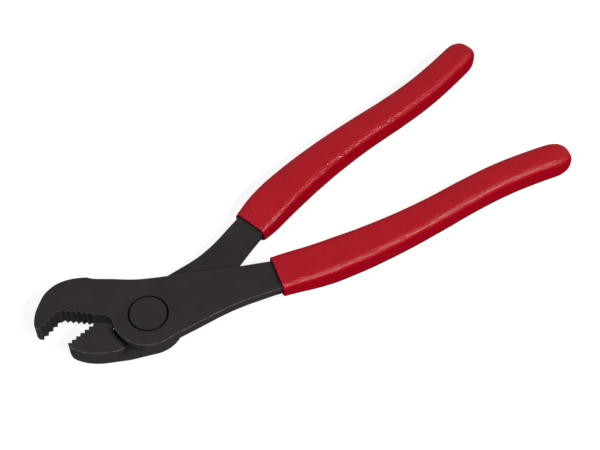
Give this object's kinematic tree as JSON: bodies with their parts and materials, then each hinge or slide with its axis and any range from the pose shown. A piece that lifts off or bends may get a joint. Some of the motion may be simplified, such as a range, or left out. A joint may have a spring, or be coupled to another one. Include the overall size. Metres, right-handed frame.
{
  "type": "pliers",
  "caption": "Small lap-joint pliers with a hooked, toothed upper jaw, a short toothed lower jaw, black steel levers and long red vinyl grips, opening on a flush rivet.",
  "frame": {"origin": "on the pivot rivet's axis, in the plane of the head's rear face", "axes": "+X between the two handles towards the grip ends, +Y towards the rear lever's handle and the hook jaw's back, +Z out of the head's front face"},
  "size_m": [0.1939, 0.0669, 0.0101],
  "materials": {
    "black_steel": "forged steel with a satin black oxide",
    "red_vinyl": "dipped soft vinyl with a fine leathery grain"
  },
  "bodies": {
    "front_half": {"front_lever": "black_steel", "front_grip": "red_vinyl"},
    "rear_half": {"rear_lever": "black_steel", "rear_grip": "red_vinyl", "pivot_rivet": "black_steel"}
  },
  "joints": [
    {"name": "jaw_pivot", "type": "hinge", "parent": "front_half", "child": "rear_half", "pos_m": [0, 0, 0.00375], "axis": [0, 0, 1], "range_deg": [-9.5, 28]}
  ]
}
